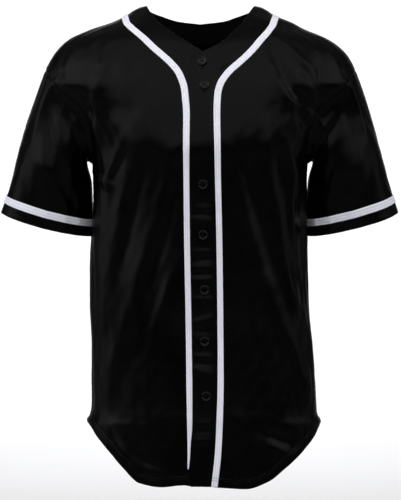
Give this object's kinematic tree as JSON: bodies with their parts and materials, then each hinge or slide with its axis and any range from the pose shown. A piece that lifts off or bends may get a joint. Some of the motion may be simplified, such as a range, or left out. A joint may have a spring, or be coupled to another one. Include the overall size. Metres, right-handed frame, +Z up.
{
  "type": "baseball jersey",
  "caption": "Short-sleeved collarless jersey in its worn shape, hollow, with a buttoned front band and braid trim.",
  "frame": {"origin": "midway between the two neck points, where the wearer's shoulders hold the jersey up", "axes": "+Z up, the front faces -Y, +X towards the wearer's left"},
  "size_m": [0.6231, 0.2744, 0.7437],
  "materials": {
    "cloth": "satin black warp knit",
    "braid": "white knitted braid",
    "button": "black, half gloss"
  },
  "bodies": {
    "root": {"front_panel_left": "cloth", "front_panel_right": "cloth", "front_band_left": "cloth", "front_band_right": "cloth", "back_panel": "cloth", "back_neck_band": "cloth", "sleeve_left": "cloth", "sleeve_right": "cloth", "braid_front_left": "braid", "braid_front_right": "braid", "braid_back_neck": "braid", "braid_sleeve_left": "braid", "braid_sleeve_right": "braid", "button_1": "button", "button_2": "button", "button_3": "button", "button_4": "button", "button_5": "button", "button_6": "button", "button_7": "button"}
  },
  "joints": []
}
